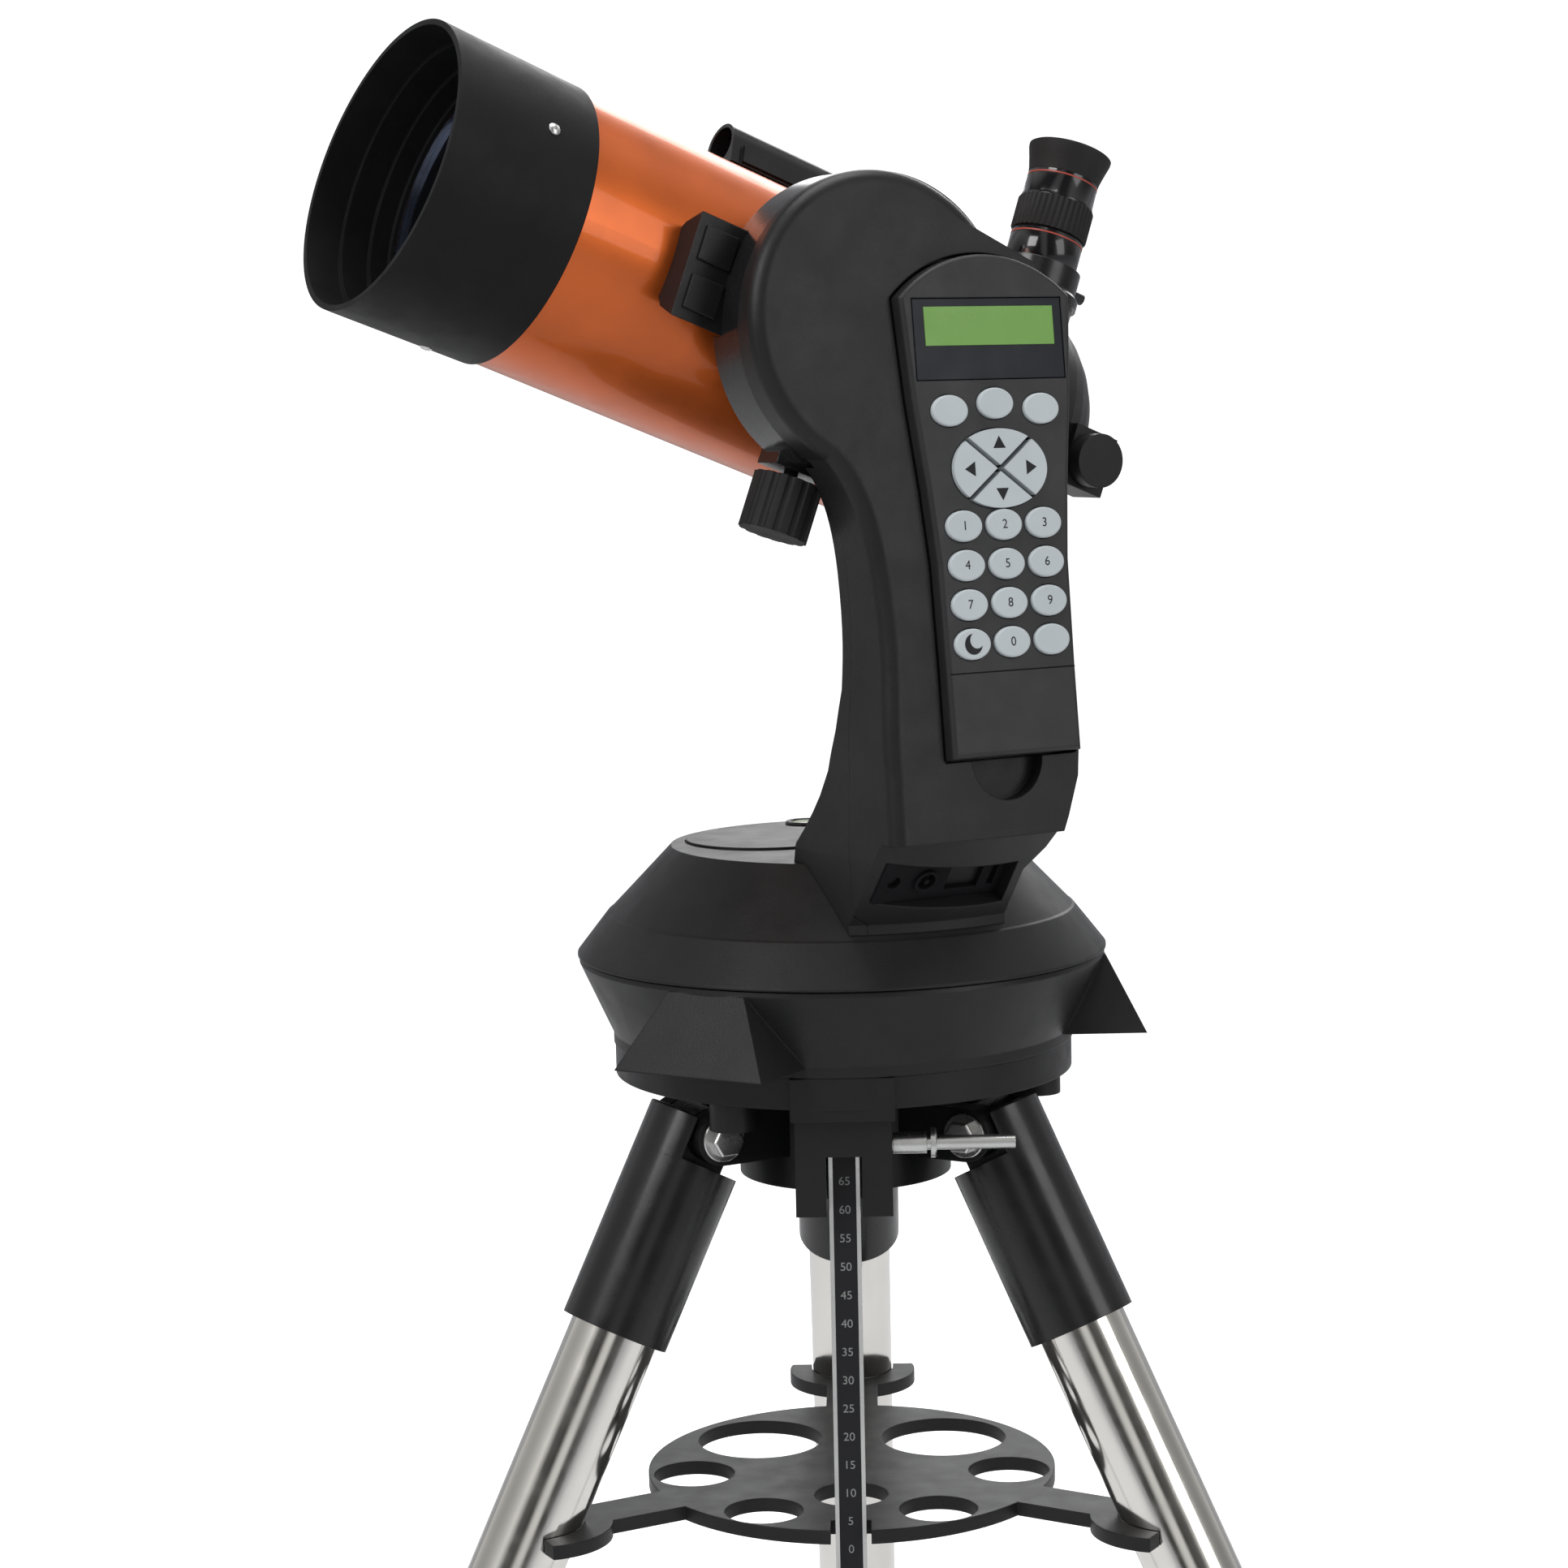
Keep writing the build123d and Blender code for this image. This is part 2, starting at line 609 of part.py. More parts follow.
with BuildPart() as port_panel:
    with BuildSketch(port_frame.offset(-7)):
        Rectangle(59.6, 21.6)
    extrude(amount=2.5)
    with BuildSketch(port_frame.offset(-7)):
        with Locations((-23, 0)):
            Circle(3)
        with Locations((-8, 0)):
            Circle(5.5)
        with Locations((11, 0)):
            Rectangle(16, 13)
        with Locations((25, 0)):
            Rectangle(3, 12)
    extrude(amount=3, mode=Mode.SUBTRACT)
    with BuildSketch(port_frame.offset(-6.5)):
        with Locations((-8, 0)):
            Circle(5.5)
            Circle(4, mode=Mode.SUBTRACT)
            Circle(1.2)
    extrude(amount=3.5)
save(port_panel.part, "port_panel")

# ---------------------------------------------------------------- saddle on the altitude axis
with BuildPart() as saddle:
    with BuildSketch(saddle_plane(HUB_IN)):
        Circle(HEAD_R)
    extrude(amount=SEAM_T - HUB_IN - 0.3)
    with BuildSketch(saddle_plane(SEAM_T - 1)):
        Circle(14)
    extrude(amount=3)
    with BuildSketch(saddle_plane(61)):
        with Locations((-KNOB_D, -54)):
            Rectangle(26, 20)
    extrude(amount=15)
    with BuildSketch(saddle_plane(60)):
        with Locations((0, DOVETAIL_V)):
            Rectangle(140, DOVETAIL_W + 0.2)
    extrude(amount=DOVETAIL_T - 60, mode=Mode.SUBTRACT)
    knob_frame = Plane(PIVOT + SIGHT * KNOB_D + OUTWARD * KNOB_T - SIGHT_UP * 90, x_dir=OUTWARD,
                       z_dir=SIGHT_UP)
    with BuildSketch(knob_frame.offset(20)):
        Circle(3.05)
    extrude(amount=38, mode=Mode.SUBTRACT)
save(saddle.part, "saddle")

with BuildPart() as saddle_knob:
    with BuildSketch(knob_frame):
        Circle(14.3)
        with PolarLocations(15.2, 14):
            Circle(1.9, mode=Mode.SUBTRACT)
    extrude(amount=23)
    with BuildSketch(knob_frame.offset(22)):
        Circle(3.0)
    extrude(amount=35)
save(saddle_knob.part, "saddle_knob")

with BuildPart() as dovetail_bar:
    with BuildSketch(tube_plane(-80)):
        with BuildLine():
            half = DOVETAIL_W / 2
            Polyline((DOVETAIL_T, DOVETAIL_V + half), (DOVETAIL_T, DOVETAIL_V - half),
                     (59.5, DOVETAIL_V - half + 4), (52, -12), (52, 8), (59.5, DOVETAIL_V + half - 4),
                     close=True)
        make_face()
        Circle(TUBE_R, mode=Mode.SUBTRACT)
    extrude(amount=161)
save(dovetail_bar.part, "dovetail_bar")

# ---------------------------------------------------------------- optical tube
with BuildPart() as optical_tube:
    with BuildSketch(tube_plane(TUBE_BACK)):
        Circle(TUBE_R)
        Circle(TUBE_R - TUBE_WALL, mode=Mode.SUBTRACT)
    extrude(amount=HOOD_BACK + 14 - TUBE_BACK)
save(optical_tube.part, "optical_tube")

with BuildPart() as front_cell:
    with BuildSketch(tube_profile()):
        with BuildLine():
            Polyline((HOOD_BACK, TUBE_R), (HOOD_BACK, 59.8), (HOOD_FRONT - 4, 61.0),
                     (HOOD_FRONT, 61.0), (HOOD_FRONT, 58.6), (172, 58.0), (172, 56.2), (160, 56.2),
                     (160, 54.0), (152, 54.0), (152, 52.1), (143, 52.1), (143, 48),
                     (HOOD_BACK + 15, 48), (HOOD_BACK + 15, TUBE_R), close=True)
        make_face()
    revolve(axis=TUBE_AXIS)
save(front_cell.part, "front_cell")

with BuildPart() as corrector:
    with BuildSketch(tube_plane(143.2)):
        Circle(52)
    extrude(amount=6.8)
save(corrector.part, "corrector")

with BuildPart() as primary_mirror:
    with BuildSketch(tube_profile()):
        with BuildLine():
            Polyline((-86, 54), (-98, 54), (-98, 14), (-88, 14), close=True)
        make_face()
        with BuildLine():
            Polyline((-98, 14), (-98, 11.5), (-10, 11.5), (-10, 13), (-88, 14), close=True)
        make_face()
    revolve(axis=TUBE_AXIS)
save(primary_mirror.part, "primary_mirror")

with BuildPart() as rear_cell:
    with BuildSketch(tube_profile()):
        with BuildLine():
            Polyline((TUBE_BACK, 56.7), (TUBE_BACK, 58.8), (-117, 58.4), (-124, 55.8), (-131, 52.0),
                     (-138, 46.8), (-144, 40.8), (-148, 34.5), (-148, 0), (-145, 0), (-145, 33.0),
                     (-141, 39.4), (-136, 44.6), (-129, 49.6), (-122, 53.2), (-115, 55.2),
                     (-115, 54.5), (-97, 54.5), (-97, 56.7), close=True)
        make_face()
    revolve(axis=TUBE_AXIS)
    # boss of the flip mirror's knob
    flip_frame = Plane(PIVOT + SIGHT * FLIP_POS + SIGHT_UP * FLIP_V + OUTWARD * 38, x_dir=-SIGHT,
                       z_dir=OUTWARD)
    with BuildSketch(flip_frame):
        Rectangle(22, 26)
    extrude(amount=20)
    with BuildSketch(flip_frame.offset(-80)):
        Circle(3.05)
    extrude(amount=105, mode=Mode.SUBTRACT)
    # rear port and the hole for the focus screw
    focus_frame = Plane(PIVOT - SIGHT * 151 + SIGHT_UP * 18 - OUTWARD * 20, x_dir=OUTWARD,
                        z_dir=-SIGHT)
    with BuildSketch(focus_frame.offset(-8)):
        Circle(3.05)
    extrude(amount=12, mode=Mode.SUBTRACT)
    with BuildSketch(Plane(PIVOT - SIGHT * 148 - SIGHT_UP * 8, x_dir=OUTWARD, z_dir=-SIGHT)):
        Circle(19.5)
    extrude(amount=6)
    with BuildSketch(Plane(PIVOT - SIGHT * 143 - SIGHT_UP * 8, x_dir=OUTWARD, z_dir=-SIGHT)):
        Circle(16)
    extrude(amount=20, mode=Mode.SUBTRACT)
    with BuildSketch(Plane(EYE_FOOT + EYE_DIR * 40, x_dir=SIGHT, z_dir=EYE_DIR)):
        Circle(19)
    extrude(amount=40, mode=Mode.SUBTRACT)
save(rear_cell.part, "rear_cell")

with BuildPart() as focus_knob:
    with BuildSketch(focus_frame):
        Circle(9)
    extrude(amount=16)
    with BuildSketch(focus_frame.offset(-12)):
        Circle(3)
    extrude(amount=14)
save(focus_knob.part, "focus_knob")

with BuildPart() as flip_mirror:
    with BuildSketch(flip_frame.offset(20.4)):
        Circle(11.5)
    extrude(amount=8)
    with BuildSketch(flip_frame.offset(-54)):
        Circle(3)
    extrude(amount=75)
    plate = Plane(PIVOT + SIGHT * FLIP_POS + SIGHT_UP * FLIP_V - OUTWARD * 12, x_dir=SIGHT + SIGHT_UP,
                  z_dir=OUTWARD)
    with BuildSketch(plate):
        with Locations((0, 2)):
            Rectangle(20, 4)
    extrude(amount=24)
save(flip_mirror.part, "flip_mirror")

with BuildPart() as eyepiece_port:
    with BuildSketch(eye_profile()):
        with BuildLine():
            Polyline((15.9, 48), (18.9, 48), (18.9, 61), (20.5, 61), (20.5, 65), (18.6, 67), (18.6, 77),
                     (15.9, 77), close=True)
        make_face()
    revolve(axis=EYE_AXIS)
    with BuildSketch(Plane(EYE_FOOT + EYE_DIR * 71.5 - SIGHT * 17, x_dir=EYE_DIR, z_dir=-SIGHT)):
        Circle(2.5)
    extrude(amount=9)
save(eyepiece_port.part, "eyepiece_port")

with BuildPart() as eyepiece:
    with BuildSketch(eye_profile()):
        with BuildLine():
            Polyline((13.8, 54), (EYE_R, 54), (EYE_R, 77.3), (16.2, 77.3), (16.2, 91), (17.1, 92),
                     (17.1, 105.5), (16.2, 106.5), (15.7, 118), (16.2, 121), (18.6, 129.5),
                     (18.6, 131), (17.2, 131), (14.2, 124), (10, 122), (10, 118), (13.8, 116),
                     close=True)
        make_face()
        with BuildLine():
            Polyline((0, 110), (13.8, 110), (13.8, 116), (10, 118), (0, 117), close=True)
        make_face()
    revolve(axis=EYE_AXIS)
save(eyepiece.part, "eyepiece")

with BuildPart() as finder:
    finder_up = SIGHT_UP * cos(radians(20)) - OUTWARD * sin(radians(20))
    finder_side = OUTWARD * cos(radians(20)) + SIGHT_UP * sin(radians(20))
    finder_frame = Plane(PIVOT - SIGHT * 30 + finder_up * 57, x_dir=finder_side, z_dir=SIGHT)
    with BuildSketch(finder_frame):
        with Locations((0, 6)):
            Rectangle(16, 12)
        with Locations((0, 13)):
            Rectangle(24, 8)
    extrude(amount=58)
    with BuildSketch(finder_frame):
        with Locations((0, 19.6)):
            Circle(10)
        with Locations((0, 14)):
            Rectangle(20, 11.2)
    extrude(amount=63)
    fillet(finder.faces().sort_by(Axis(PIVOT, SIGHT))[0].edges().sort_by(
        Axis(PIVOT, finder_up))[-1:], 5)
    with BuildSketch(finder_frame.offset(28)):
        with Locations((0, 19.6)):
            Circle(8.4)
    extrude(amount=40, mode=Mode.SUBTRACT)
    with BuildSketch(finder_frame.offset(-1)):
        with Locations((0, -57)):
            Circle(TUBE_R)
    extrude(amount=80, mode=Mode.SUBTRACT)
save(finder.part, "finder")

# ---------------------------------------------------------------- hand control and its keys
MENU_KEYS = [("key_left_menu", -22, MENU_Y), ("key_middle_menu", 0, MENU_Y + 2.5),
             ("key_right_menu", 22, MENU_Y)]
NUMBER_KEYS = [(f"key_row{row + 1}_{column + 1}", (column - 1) * KEY_PITCH_X,
                -5.5 - row * KEY_PITCH_Y) for row in range(4) for column in range(3)]
ARROWS = {"right": 0, "up": 90, "left": 180, "down": 270}

with BuildPart() as hand_control:
    with BuildSketch(face_plane(HC_BACK)):
        add(control_outline.sketch)
    extrude(amount=HC_FRONT - HC_BACK)
    fillet(hand_control.faces().sort_by(Axis(face_plane().origin, face_plane().z_dir))[-1].edges(), 2.2)
    with BuildSketch(face_plane(HC_FRONT - 5)):
        for key_name, x, y in MENU_KEYS + NUMBER_KEYS:
            with Locations((x, y)):
                Ellipse(KEY_W / 2 + 0.3, KEY_H / 2 + 0.3)
        with Locations((0, PAD_Y)):
            Ellipse(22.8, 16.3)
    extrude(amount=10, mode=Mode.SUBTRACT)
    with BuildSketch(face_plane(HC_FRONT - 1.5)):
        with Locations((0, 69)):
            Rectangle(72, 33)
    extrude(amount=5, mode=Mode.SUBTRACT)
save(hand_control.part, "hand_control")

with BuildPart() as display_window:
    with BuildSketch(face_plane(HC_FRONT - 1.5)):
        with Locations((0, 69)):
            Rectangle(71.8, 32.8)
    extrude(amount=1.4)
save(display_window.part, "display_window")

for key_name, x, y in MENU_KEYS + NUMBER_KEYS:
    with BuildPart() as key:
        with BuildSketch(face_plane(HC_FRONT - 3.8)):
            with Locations((x, y)):
                Ellipse(KEY_W / 2, KEY_H / 2)
        extrude(amount=3.8 + 1.6)
        fillet(key.faces().sort_by(Axis(face_plane().origin, face_plane().z_dir))[-1].edges(), 0.8)
    save(key.part, key_name)

for way, angle in ARROWS.items():
    with BuildPart() as key:
        with BuildSketch(face_plane(HC_FRONT - 3.8)):
            with Locations((0, PAD_Y)):
                Ellipse(22.4, 15.9)
            wide = 38 if angle % 180 else 52
            with BuildLine():
                a, b = radians(angle - 90 + wide), radians(angle + 90 - wide)
                tip = (1.6 * cos(radians(angle)), PAD_Y + 1.3 * sin(radians(angle)))
                Polyline(tip, (tip[0] + 60 * cos(a), tip[1] + 60 * sin(a)),
                         (tip[0] + 60 * cos(b), tip[1] + 60 * sin(b)), close=True)
            make_face(mode=Mode.INTERSECT)
        extrude(amount=3.8 + 1.6)
    save(key.part, f"key_{way}_arrow")
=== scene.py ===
"""Looks for a single-arm telescope on a wedge tripod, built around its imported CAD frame."""

import math

import bmesh
import bpy
from mathutils import Matrix, Vector


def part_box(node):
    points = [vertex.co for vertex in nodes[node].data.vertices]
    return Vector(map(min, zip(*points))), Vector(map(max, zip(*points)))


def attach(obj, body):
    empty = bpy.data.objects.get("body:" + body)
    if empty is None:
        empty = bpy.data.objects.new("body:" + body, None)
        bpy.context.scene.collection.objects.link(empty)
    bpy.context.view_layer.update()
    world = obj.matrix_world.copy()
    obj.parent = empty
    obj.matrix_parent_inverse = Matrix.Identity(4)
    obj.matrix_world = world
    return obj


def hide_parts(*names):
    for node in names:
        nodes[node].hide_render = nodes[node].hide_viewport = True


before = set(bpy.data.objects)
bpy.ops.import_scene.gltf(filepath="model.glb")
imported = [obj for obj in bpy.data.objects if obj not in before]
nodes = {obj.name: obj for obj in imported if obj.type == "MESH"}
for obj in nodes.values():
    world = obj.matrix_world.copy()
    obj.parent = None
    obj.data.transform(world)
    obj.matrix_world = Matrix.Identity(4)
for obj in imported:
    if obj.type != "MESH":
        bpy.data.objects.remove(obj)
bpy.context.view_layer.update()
scene = bpy.context.scene

MM = 0.001

# ------------------------------------------------------------- directions and places, in millimetres
SWING = math.radians(31.99)
ALTITUDE = math.radians(21.23)
LEG_TILT = math.radians(27.2)
HINGE_R = 72
EAR_FACE = 23.1
SLEEVE_R = 23.4
INNER_TUBE_R = 15.9
INNER_TUBE_START = 140
HINGE_Z = 588.4
FOOT_R = 15
LEG_LENGTH = (HINGE_Z - FOOT_R) / math.cos(LEG_TILT)
LEG_AZIMUTHS = (90, 210, 330)
REAR_LEG = 90
UP = Vector((0, 0, 1))
FORWARD = Vector((-math.cos(SWING), -math.sin(SWING), 0))
OUTWARD = Vector((math.sin(SWING), -math.cos(SWING), 0))
SIGHT = FORWARD * math.cos(ALTITUDE) + UP * math.sin(ALTITUDE)
SIGHT_UP = UP * math.cos(ALTITUDE) - FORWARD * math.sin(ALTITUDE)

low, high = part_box("turntable")
AXIS = Vector(((low.x + high.x) / 2, (low.y + high.y) / 2, 0))
DECK = 46
RIM_Z = high.z - DECK * MM
PIVOT = AXIS + FORWARD * 31.7 * MM + UP * (RIM_Z + 264.5 * MM)
DOVETAIL_T = 71
FOCUS_SEAT = PIVOT + (SIGHT_UP * 18 - SIGHT * 151 - OUTWARD * 20) * MM

EYE_LEAN = math.radians(3)
EYE_DIR = SIGHT_UP * math.cos(EYE_LEAN) - OUTWARD * math.sin(EYE_LEAN)
EYE_FOOT = PIVOT - SIGHT * 124 * MM

FACE_TILT = math.radians(6)
FACE_NORMAL = OUTWARD * math.cos(FACE_TILT) + UP * math.sin(FACE_TILT)
FACE_LOW_T = 121
CRADLE_RISE = 100
FACE_T = FACE_LOW_T - CRADLE_RISE * math.tan(FACE_TILT)
FACE_CENTRE = AXIS + OUTWARD * FACE_T * MM - FORWARD * 8 * MM + UP * (RIM_Z + 190 * MM)


def axes(origin, x_axis, z_axis):
    """Matrix that places local millimetres at origin, along x_axis and z_axis."""
    x, z = x_axis.normalized(), z_axis.normalized()
    y = z.cross(x)
    turn = Matrix((x, y, z)).transposed().to_4x4()
    return Matrix.Translation(origin) @ turn @ Matrix.Scale(MM, 4)


FACE = axes(FACE_CENTRE, -FORWARD, FACE_NORMAL)
EYE = axes(EYE_FOOT, SIGHT, EYE_DIR)
BASE = axes(AXIS + UP * RIM_Z, Vector((1, 0, 0)), UP)
BAR = axes(AXIS + UP * RIM_Z, Vector((1, 0, 0)), Vector((0, -1, 0)))


def leg_frame(azimuth, station):
    """Across a leg: x sideways, y outwards, z down the leg, station millimetres below its hinge."""
    a = math.radians(azimuth)
    out = Vector((math.cos(a), math.sin(a), 0))
    along = out * math.sin(LEG_TILT) - UP * math.cos(LEG_TILT)
    hinge = AXIS + out * HINGE_R * MM + UP * HINGE_Z * MM
    return axes(hinge + along * station * MM, Vector((-math.sin(a), math.cos(a), 0)), along)


def hinge_frame(azimuth, sign, offset):
    """On a leg hinge bolt's end: x outwards, z away from the leg on the given side."""
    a = math.radians(azimuth)
    out = Vector((math.cos(a), math.sin(a), 0))
    side = Vector((-math.sin(a), math.cos(a), 0)) * sign
    return axes(AXIS + out * HINGE_R * MM + UP * HINGE_Z * MM + side * offset * MM, out, side)


def on_tube(distance, angle, radius):
    """On the optical tube's skin: x along the tube, z straight out of it."""
    a = math.radians(angle)
    out = OUTWARD * math.cos(a) + SIGHT_UP * math.sin(a)
    return axes(PIVOT + SIGHT * distance * MM + out * radius * MM, SIGHT, out)


# ------------------------------------------------------------- materials
def surface(name, color, rough, metallic=0.0, coat=0.0, coat_rough=0.06, grain=0.0, grain_mm=0.6,
            vary=0.06, mottle=0.12, edge_mm=0.5, specular=0.5, scratch=0.0):
    """Procedural finish: moulded grain, softened edges, and slow changes of roughness and tone."""
    mat = bpy.data.materials.new(name)
    mat.use_nodes = True
    tree = mat.node_tree
    shader = tree.nodes["Principled BSDF"]
    shader.inputs["Metallic"].default_value = metallic
    shader.inputs["Coat Weight"].default_value = coat
    shader.inputs["Coat Roughness"].default_value = coat_rough
    shader.inputs["Specular IOR Level"].default_value = specular
    coords = tree.nodes.new("ShaderNodeTexCoord")

    def noise(per_metre, detail=3.0):
        tex = tree.nodes.new("ShaderNodeTexNoise")
        tex.inputs["Scale"].default_value = per_metre
        tex.inputs["Detail"].default_value = detail
        tree.links.new(coords.outputs["Object"], tex.inputs["Vector"])
        return tex.outputs["Fac"]

    tone = tree.nodes.new("ShaderNodeValToRGB")
    tone.color_ramp.elements[0].position = 0.3
    tone.color_ramp.elements[1].position = 0.7
    tone.color_ramp.elements[0].color = [c * (1 - mottle) for c in color] + [1]
    tone.color_ramp.elements[1].color = [min(1, c * (1 + mottle)) for c in color] + [1]
    tree.links.new(noise(38), tone.inputs["Fac"])
    tree.links.new(tone.outputs["Color"], shader.inputs["Base Color"])

    spread = tree.nodes.new("ShaderNodeMapRange")
    spread.inputs["From Min"].default_value = 0.3
    spread.inputs["From Max"].default_value = 0.7
    spread.inputs["To Min"].default_value = max(0.02, rough - vary)
    spread.inputs["To Max"].default_value = min(1.0, rough + vary)
    tree.links.new(noise(70, 5.0), spread.inputs["Value"])
    tree.links.new(spread.outputs["Result"], shader.inputs["Roughness"])

    soft = tree.nodes.new("ShaderNodeBevel")
    soft.samples = 4
    soft.inputs["Radius"].default_value = edge_mm * MM
    normal = soft.outputs["Normal"]
    if grain:
        bump = tree.nodes.new("ShaderNodeBump")
        bump.inputs["Strength"].default_value = grain
        bump.inputs["Distance"].default_value = 0.12 * MM
        tree.links.new(noise(1 / (grain_mm * MM), 2.0), bump.inputs["Height"])
        tree.links.new(normal, bump.inputs["Normal"])
        normal = bump.outputs["Normal"]
    if scratch:
        fine = tree.nodes.new("ShaderNodeBump")
        fine.inputs["Strength"].default_value = scratch
        fine.inputs["Distance"].default_value = 0.02 * MM
        stretch = tree.nodes.new("ShaderNodeMapping")
        stretch.inputs["Scale"].default_value = (1, 1, 0.04)
        hair = tree.nodes.new("ShaderNodeTexNoise")
        hair.inputs["Scale"].default_value = 900
        tree.links.new(coords.outputs["Object"], stretch.inputs["Vector"])
        tree.links.new(stretch.outputs["Vector"], hair.inputs["Vector"])
        tree.links.new(hair.outputs["Fac"], fine.inputs["Height"])
        tree.links.new(normal, fine.inputs["Normal"])
        normal = fine.outputs["Normal"]
    tree.links.new(normal, shader.inputs["Normal"])
    return mat


def shader_of(mat):
    return mat.node_tree.nodes["Principled BSDF"]


TEXTURED = surface("textured_plastic", (0.0115, 0.0115, 0.012), 0.4, grain=0.6, grain_mm=0.55,
                   edge_mm=0.9, vary=0.05, specular=0.26)
HOOD = surface("hood_plastic", (0.007, 0.007, 0.0075), 0.5, grain=0.6, grain_mm=0.5, edge_mm=0.6,
               specular=0.16)
CONTROL = surface("control_plastic", (0.016, 0.016, 0.017), 0.46, grain=0.5, grain_mm=0.4, edge_mm=0.8,
                  specular=0.4)
CASTING = surface("painted_casting", (0.009, 0.009, 0.0095), 0.36, grain=0.35, grain_mm=1.2,
                  edge_mm=0.9, vary=0.08, specular=0.28)
SATIN = surface("satin_black", (0.009, 0.009, 0.0095), 0.26, grain=0.12, grain_mm=2.2, edge_mm=0.8,
                coat=0.2, coat_rough=0.15, specular=0.35)
GLOSS = surface("gloss_black", (0.006, 0.006, 0.007), 0.13, grain=0.05, grain_mm=3.0, vary=0.03,
                edge_mm=0.5, coat=0.25)
FLAT = surface("flat_black", (0.004, 0.004, 0.005), 0.8, grain=0.4, grain_mm=0.7, specular=0.2)
CHROME = surface("polished_steel", (0.84, 0.82, 0.78), 0.13, metallic=1.0, vary=0.05, mottle=0.03,
                 edge_mm=0.3, scratch=0.08)
ZINC = surface("zinc_plate", (0.62, 0.62, 0.61), 0.28, metallic=1.0, vary=0.1, mottle=0.08,
               edge_mm=0.25, grain=0.12, grain_mm=0.8)
ORANGE = surface("orange_metallic", (0.60, 0.115, 0.014), 0.36, metallic=0.72, coat=0.4,
                 coat_rough=0.06, grain=0.16, grain_mm=0.35, vary=0.04, mottle=0.06, edge_mm=0.2)
RUBBER = surface("rubber", (0.009, 0.009, 0.009), 0.68, grain=0.35, grain_mm=0.5, edge_mm=0.4,
                 specular=0.35)
KEY_GREY = surface("key_grey", (0.44, 0.48, 0.49), 0.5, grain=0.15, grain_mm=0.5, mottle=0.03,
                   edge_mm=0.3)
INK = surface("printed_black", (0.008, 0.008, 0.01), 0.55, grain=0.1, edge_mm=0.02, specular=0.3)
PALE_INK = surface("printed_pale", (0.20, 0.21, 0.20), 0.5, grain=0.1, edge_mm=0.02, mottle=0.05)
RED_INK = surface("printed_red", (0.32, 0.04, 0.02), 0.5, grain=0.1, edge_mm=0.02, mottle=0.05)
BRASS = surface("machined_brass", (0.72, 0.5, 0.22), 0.3, metallic=1.0, mottle=0.08, edge_mm=0.3,
                scratch=0.2)
MIRROR = surface("aluminised", (0.9, 0.91, 0.92), 0.03, metallic=1.0, vary=0.01, mottle=0.01,
                 edge_mm=0.1)
SCREEN = surface("display_black", (0.006, 0.008, 0.012), 0.2, mottle=0.05, edge_mm=0.2, specular=0.16)
LCD = surface("lcd_green", (0.10, 0.24, 0.03), 0.3, mottle=0.06, edge_mm=0.1)
shader_of(LCD).inputs["Emission Color"].default_value = (0.16, 0.36, 0.03, 1)
shader_of(LCD).inputs["Emission Strength"].default_value = 0.12
GLASS = surface("coated_glass", (0.5, 0.6, 0.85), 0.03, vary=0.01, mottle=0.02, edge_mm=0.1, coat=0.3)
shader_of(GLASS).inputs["Transmission Weight"].default_value = 1.0
shader_of(GLASS).inputs["IOR"].default_value = 1.5
BUBBLE = surface("level_fluid", (0.5, 0.62, 0.3), 0.05, vary=0.02, mottle=0.05, coat=1.0, edge_mm=0.2)

FINISH = {
    "tripod_head": CASTING, "pivot_bolts": ZINC, "wedge_plate": CASTING, "latitude_bar": ZINC,
    "latitude_clamp": ZINC, "accessory_tray": TEXTURED, "mounting_knobs": TEXTURED,
    "base_shell": TEXTURED, "azimuth_gear": BRASS, "turntable": TEXTURED, "battery_cover": TEXTURED,
    "arm_outer": TEXTURED, "arm_inner": TEXTURED, "port_panel": FLAT, "saddle": SATIN,
    "saddle_knob": RUBBER, "hand_control": CONTROL, "display_window": SCREEN,
    "optical_tube": ORANGE, "front_cell": HOOD, "corrector": GLASS, "primary_mirror": MIRROR,
    "rear_cell": TEXTURED, "focus_knob": RUBBER, "flip_mirror": TEXTURED, "eyepiece_port": SATIN,
    "eyepiece": GLOSS, "dovetail_bar": CASTING, "finder": SATIN,
}
for node_name, obj in nodes.items():
    if node_name.startswith("key_"):
        finish = KEY_GREY
    elif node_name.startswith("leg_"):
        finish = {"sleeve": SATIN, "tube": CHROME, "extension": CHROME, "knob": TEXTURED}[
            node_name.split("_")[1]]
    else:
        finish = FINISH[node_name]
    obj.data.materials.clear()
    obj.data.materials.append(finish)


# ------------------------------------------------------------- shape helpers
def piece(name, verts, faces, place, finish, body, slot, stands_for=(), bevel=0.0, sharp=35):
    """Mesh piece from local millimetres, riding on a body."""
    mesh = bpy.data.meshes.new(name)
    mesh.from_pydata([place @ Vector(v) for v in verts], [], faces)
    bm = bmesh.new()
    bm.from_mesh(mesh)
    bmesh.ops.remove_doubles(bm, verts=bm.verts, dist=1e-7)
    bmesh.ops.recalc_face_normals(bm, faces=bm.faces)
    bm.to_mesh(mesh)
    bm.free()
    mesh.polygons.foreach_set("use_smooth", [True] * len(mesh.polygons))
    mesh.materials.append(finish)
    obj = bpy.data.objects.new(name, mesh)
    scene.collection.objects.link(obj)
    if bevel:
        rounding = obj.modifiers.new("rounding", "BEVEL")
        rounding.width = bevel * MM
        rounding.segments = 3
        rounding.limit_method = "ANGLE"
        rounding.angle_limit = math.radians(30)
        rounding.harden_normals = True
    else:
        mesh.set_sharp_from_angle(angle=math.radians(sharp))
    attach(obj, body)
    if stands_for:
        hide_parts(*stands_for)
    return obj


